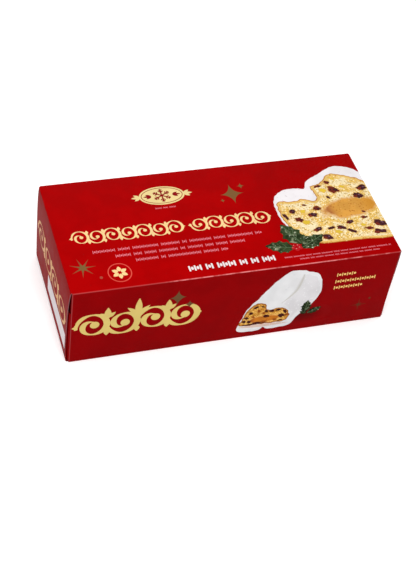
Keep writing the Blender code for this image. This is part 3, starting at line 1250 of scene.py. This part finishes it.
FACE_OUTLINE = (
    (137.8, 62.4), (139, 56.8), (140.6, 52), (142.2, 46.8), (145.4, 42), (149.4, 38.8), (154.4, 38.8),
    (157.8, 41.6), (159.6, 46.4), (162.8, 48), (167.2, 46.6), (173, 47.6), (177, 50.6), (179.4, 55.2),
    (179.4, 60), (175.8, 63.2), (165.4, 63.8), (153.8, 63.2), (145.8, 63.4),
)
LOAF_FRUIT = (
    (149.8, 43.2, 2.1, 0.60, -0.3, "raisin"), (152.8, 47.6, 2.0, 0.66, 1.2, "red"),
    (146.1, 49.4, 2.1, 0.70, 0.0, "raisin"), (159.9, 54.7, 2.9, 0.56, 0.2, "raisin"),
    (172.7, 56.0, 2.8, 0.84, 0.5, "raisin"), (164.0, 49.4, 2.1, 0.66, 0.2, "raisin"),
    (169.2, 49.2, 2.4, 0.50, 0.0, "raisin"), (175.4, 52.0, 2.5, 0.54, 0.9, "raisin"),
    (143.0, 54.3, 1.8, 0.80, 0.4, "raisin"), (141.4, 58.2, 1.9, 0.74, 0.0, "raisin"),
    (145.6, 59.0, 2.0, 0.66, 0.3, "raisin"), (152.2, 61.4, 3.4, 0.34, 0.0, "raisin"),
    (158.4, 60.8, 2.7, 0.42, 0.1, "red"), (172.6, 61.6, 2.6, 0.34, -0.1, "raisin"),
    (157.2, 50.6, 1.6, 0.70, 0.4, "red"), (177.0, 56.4, 1.9, 0.80, 0.3, "red"),
    (159.2, 48.8, 1.8, 0.66, 0.8, "raisin"), (167.6, 60.2, 2.0, 0.56, 0.2, "red"),
    (155.6, 43.2, 2.2, 0.32, 0.5, "raisin"), (149.0, 54.0, 1.3, 0.70, 0.6, "red"),
)


def build_loaf_body():
    """The loaf's shade on the board, its sugared top and flank, the seam between them and its foot."""
    x, y, half_width, half_height = 192, 59, 25.0, 12.0
    sheet = Print()
    sheet.oval(x, y, half_width, half_height, count=48)
    centre = tuple(panels()["front"].place(x * MM, y * MM, 0))
    shadow = shadow_finish("loaf_shadow_ink", centre, (half_width * MM, 1.0, half_height * MM))
    sheet.lay("front", "loaf_shadow", "picture_print", shadow, top=0.0)
    bodies = (
        ("sugar", LOAF_OUTLINE, (0.5, 4.0, 3.0), ink(226, 226, 227), ink(212, 213, 216), 230.0, 0.24, 0.035),
        ("flank", FLANK_OUTLINE, (1.0, 5.0, 4.0), ink(219, 217, 219), ink(229, 229, 230), 420.0, 0.3, 0.05),
    )
    for part, points, lumps, tint, spots, per_metre, cover, top in bodies:
        sheet = Print()
        sheet.outline(lumpy(smooth_loop(points), *lumps))
        material = spotted_finish(f"loaf_{part}_ink", tint, spots, per_metre, cover)
        sheet.lay("front", f"loaf_{part}", "picture_print", material, top=top)
    seam = smooth_loop(SEAM, closed=False)

    def along(t):
        place = t * (len(seam) - 1)
        index = min(int(place), len(seam) - 2)
        return seam[index].lerp(seam[index + 1], place - index)

    for name, broad, tint, top in (
        ("loaf_seam_shade", 3.8, ink(215, 214, 214), 0.07),
        ("loaf_seam", 1.4, ink(200, 197, 191), 0.11),
    ):
        def width(t, broad=broad):
            return 0.4 + broad * math.sin(math.pi * min(1.0, t + 0.08))
        sheet = Print()
        sheet.stroke(along, width, 26)
        sheet.lay("front", name, "picture_print", ink_finish(name + "_ink", tint, 0.45), top=top)
    sheet = Print()
    sheet.leaf(137.0, 64.6, 0.03, 44.0, 3.6)
    foot = spotted_finish("loaf_base_ink", ink(214, 188, 176), ink(226, 212, 206), 420.0, 0.3)
    sheet.lay("front", "loaf_base", "picture_print", foot, top=0.05)


def build_loaf_face():
    """The loaf's cut face, with its fruit and the dark line under it."""
    sheet = Print()
    cut_face(sheet, lumpy(smooth_loop(FACE_OUTLINE), 0.9, 2.4, 9.0), 0.5, 0.9)
    core_place = tuple(panels()["front"].place(158 * MM, 58 * MM, 0))
    core_size, core_tilt, core_tone = (0.0125, 1.0, 0.0036), 0.0, (0.74, 0.50, 0.30)
    pale, butter = ink(224, 174, 88), ink(188, 126, 44)
    crumb = crumb_finish("loaf_crumb_ink", pale, butter, core_place, core_size, core_tilt, core_tone)
    crust = spotted_finish("loaf_crust_ink", ink(150, 88, 30), ink(98, 46, 22), 600.0, 0.3)
    baked = spotted_finish("loaf_baked_ink", ink(184, 122, 52), ink(150, 86, 34), 420.0, 0.4)
    sheet.lay("front", "loaf_face", "picture_print", crumb, crust, baked, top=0.07)
    raisins, red_fruit = Print(), Print()
    draw = random.Random(8)
    for x, y, radius, flatness, turn, kind in LOAF_FRUIT:
        fruit(red_fruit if kind == "red" else raisins, Vector((x, y)), radius, draw, flatness, turn)
    raisins.leaf(138.6, 62.6, -0.02, 24.0, 1.6)
    for sheet, part, piece, tint, spots in (
        (red_fruit, "red", "red_fruit", ink(150, 78, 26), ink(104, 40, 20)),
        (raisins, "raisins", "raisins", ink(66, 24, 20), ink(120, 50, 34)),
    ):
        material = spotted_finish(f"loaf_{part}_ink", tint, spots, 900.0, 0.2)
        sheet.lay("front", f"loaf_{piece}", "picture_print", material, top=0.12)


SPRIG_LEAVES = (
    (181.4, 102.4, -2.90, 23.6, 13.4), (188.6, 99.2, -1.98, 26.0, 17.2),
    (187.0, 103.4, -0.49, 25.0, 13.6), (190.0, 100.6, -1.30, 12.0, 9.0),
)
SMALL_SPRIG_LEAVES = (
    (193.0, 56.6, -1.52, 14.0, 8.8), (195.4, 57.8, -0.42, 12.6, 6.4), (194.4, 57.6, -2.7, 6.4, 4.4),
)


def build_berries(x, y, radius):
    """Five holly berries round a place, each with a glint."""
    berries, glints = Print(), Print()
    draw = random.Random(2)
    for index in range(5):
        turn = 2 * math.pi * index / 5 + 0.4
        spot = Vector((x, y)) + Vector((math.cos(turn) * 1.35, math.sin(turn))) * radius * 0.95
        size = radius * draw.uniform(0.64, 0.84)
        berries.oval(spot.x, spot.y, size, size, count=20)
        glints.oval(spot.x - size * 0.3, spot.y - size * 0.35, size * 0.24, size * 0.17, count=10)
    berry = spotted_finish("berry_ink", hue("berry"), ink(150, 20, 26), 700.0, 0.25)
    berries.lay("top", "sprig_berries", "picture_print", berry, top=0.23)
    glint = ink_finish("glint_ink", ink(238, 168, 156), 0.4)
    glints.lay("top", "sprig_glints", "picture_print", glint, top=0.27)


def build_holly():
    """The holly sprig by the slice and the small one behind the loaf."""
    vein = ink_finish("holly_vein_ink", ink(96, 118, 84), 0.45)
    sprigs = (("top", "sprig", SPRIG_LEAVES, 1.0), ("front", "small_sprig", SMALL_SPRIG_LEAVES, 0.50))
    for panel, name, leaves, depth in sprigs:
        blades, veins = Print(), Print()
        for x, y, turn, reach, width in leaves:
            blades.leaf(x, y, turn, reach, width, spines=4)
            stalk, midrib = Vector((x, y)), direction(turn) * reach
            veins.twig(stalk + midrib * 0.05, turn, reach * 0.86, reach * 0.020)
            for share in (0.28, 0.46, 0.64):
                for lean in (-0.85, 0.85):
                    veins.twig(stalk + midrib * share, turn + lean, width * 0.34, reach * 0.012)
        blades.lay(panel, f"{name}_leaves", "picture_print", leaf_finish(f"{name}_ink", depth), top=0.15)
        veins.lay(panel, f"{name}_veins", "picture_print", vein, top=0.19)
        if panel == "top":
            build_berries(183.0, 102.2, 2.3)


# Stage


def build_floor():
    """A large pale floor."""
    bm = bmesh.new()
    bmesh.ops.create_grid(bm, x_segments=1, y_segments=1, size=4.0)
    material = bpy.data.materials.new("pale_floor")
    material.use_nodes = True
    tree = material.node_tree
    shader = tree.nodes["Principled BSDF"]
    shader.inputs["Specular IOR Level"].default_value = 0.0
    shader.inputs["Roughness"].default_value = 0.9
    shader.inputs["Emission Color"].default_value = (1.0, 1.0, 1.0, 1.0)
    shader.inputs["Emission Strength"].default_value = 0.22
    place = tree.nodes.new("ShaderNodeTexCoord").outputs["Object"]
    cloud = noise_field(tree, place, 3.0, 2.0)
    tint = mix_colours(tree, cloud, (0.965, 0.965, 0.965), (0.985, 0.985, 0.985))
    tree.links.new(tint, shader.inputs["Base Color"])
    floor = add_object("floor", mesh_from(bm, "floor", material))


def add_area_light(name, place, target, size, watts):
    """A square soft light that faces a target."""
    data = bpy.data.lights.new(name, "AREA")
    data.shape = "SQUARE"
    data.size = size
    data.energy = watts
    light = add_object(name, data)
    turn = (Vector(target) - Vector(place)).to_track_quat("-Z", "Y").to_matrix().to_4x4()
    light.matrix_world = Matrix.Translation(place) @ turn


def build_world():
    """An even pale surrounding."""
    world = bpy.data.worlds.new("pale_room")
    world.use_nodes = True
    background = world.node_tree.nodes["Background"]
    background.inputs["Color"].default_value = (1.0, 1.0, 1.0, 1.0)
    background.inputs["Strength"].default_value = 0.86
    bpy.context.scene.world = world


def build_camera():
    """The camera at the photograph's place and angle, and its lens for a frame of 416 by 588."""
    low, high = tube_box()
    middle = Vector(((low.x + high.x) / 2, (low.y + high.y) / 2, low.z))
    target = middle + Vector((-0.003542, -0.009111, 0))
    distance = 1.067465
    bearing, height, roll = (math.radians(angle) for angle in (-23.28051, 45.87648, 9.49346))
    back = Vector((0, -math.cos(height), math.sin(height)))
    back.rotate(Matrix.Rotation(bearing, 3, "Z"))
    data = bpy.data.cameras.new("camera")
    data.sensor_fit = "VERTICAL"
    data.sensor_height = 24.0
    focal_pixels, frame_height = 1285.3, 588
    data.lens = data.sensor_height * focal_pixels / frame_height
    camera = add_object("camera", data)
    turn = back.to_track_quat("Z", "Y").to_matrix().to_4x4() @ Matrix.Rotation(roll, 4, "Z")
    camera.matrix_world = Matrix.Translation(target + back * distance) @ turn
    bpy.context.scene.camera = camera


def build_stage():
    build_floor()
    build_world()
    build_camera()
    add_area_light("overhead_softbox", place=(-0.2, -0.1, 1.3), target=(0, 0, 0.05), size=1.0, watts=3.0)
    add_area_light(
        "front_softbox", place=(-0.12, -0.30, 0.56), target=(0, -0.03, 0.06), size=0.30, watts=1.0
    )
    view = bpy.context.scene.view_settings
    view.view_transform = "Standard"
    view.look = "None"


# Operators


class CARTON_OT_board(bpy.types.Operator):
    """Build the tube of four panels and the flaps at both ends"""

    bl_idname = "carton.board"
    bl_label = "Board and flaps"

    def execute(self, context):
        build_tube()
        build_lap_edge()
        build_flaps()
        build_dust_flaps()
        return {"FINISHED"}


class CARTON_OT_friezes(bpy.types.Operator):
    """Print the cream scroll on the top and the gold scroll round the sides"""

    bl_idname = "carton.friezes"
    bl_label = "Friezes"

    def execute(self, context):
        build_top_frieze()
        build_side_frieze()
        return {"FINISHED"}


class CARTON_OT_ornaments(bpy.types.Operator):
    """Print the medallion, the badge, the stars, the rows of beads and the bare fields"""

    bl_idname = "carton.ornaments"
    bl_label = "Ornaments"

    def execute(self, context):
        build_medallion()
        build_badge()
        build_rows()
        build_stars()
        build_date_field()
        return {"FINISHED"}


class CARTON_OT_slice(bpy.types.Operator):
    """Print the slice of the loaf on the top"""

    bl_idname = "carton.slice"
    bl_label = "Slice picture"

    def execute(self, context):
        build_slice()
        return {"FINISHED"}


class CARTON_OT_loaf(bpy.types.Operator):
    """Print the whole loaf on the front"""

    bl_idname = "carton.loaf"
    bl_label = "Loaf picture"

    def execute(self, context):
        build_loaf_body()
        build_loaf_face()
        return {"FINISHED"}


class CARTON_OT_holly(bpy.types.Operator):
    """Print the holly by both pictures"""

    bl_idname = "carton.holly"
    bl_label = "Holly"

    def execute(self, context):
        build_holly()
        return {"FINISHED"}


class CARTON_OT_stage(bpy.types.Operator):
    """Build the floor, the light, the surroundings and the camera"""

    bl_idname = "carton.stage"
    bl_label = "Stage"

    def execute(self, context):
        build_stage()
        return {"FINISHED"}


OPERATORS = (
    CARTON_OT_board,
    CARTON_OT_friezes,
    CARTON_OT_ornaments,
    CARTON_OT_slice,
    CARTON_OT_loaf,
    CARTON_OT_holly,
    CARTON_OT_stage,
)


class CARTON_PT_sidebar(bpy.types.Panel):
    """Sizes, colours and the buttons that build each piece"""

    bl_idname = "CARTON_PT_sidebar"
    bl_label = "Festive loaf carton"
    bl_space_type = "VIEW_3D"
    bl_region_type = "UI"
    bl_category = "Carton"

    def draw(self, context):
        for group in (context.scene.carton_sizes, context.scene.carton_colours):
            column = self.layout.column()
            for key in group.bl_rna.properties.keys():
                if key not in {"rna_type", "name"}:
                    column.prop(group, key)
        for operator in OPERATORS:
            self.layout.operator(operator.bl_idname)


CLASSES = (CartonSizes, CartonColours, *OPERATORS, CARTON_PT_sidebar)


def register():
    for item in CLASSES:
        bpy.utils.register_class(item)
    bpy.types.Scene.carton_sizes = bpy.props.PointerProperty(type=CartonSizes)
    bpy.types.Scene.carton_colours = bpy.props.PointerProperty(type=CartonColours)


def unregister():
    del bpy.types.Scene.carton_colours
    del bpy.types.Scene.carton_sizes
    for item in reversed(CLASSES):
        bpy.utils.unregister_class(item)


def main():
    register()
    paper_fibre_group()
    scuffed_and_highlit_crease_group()
    speckle_group()
    bpy.ops.carton.board()
    bpy.ops.carton.friezes()
    bpy.ops.carton.ornaments()
    bpy.ops.carton.slice()
    bpy.ops.carton.loaf()
    bpy.ops.carton.holly()
    bpy.ops.carton.stage()


if __name__ == "__main__":
    main()
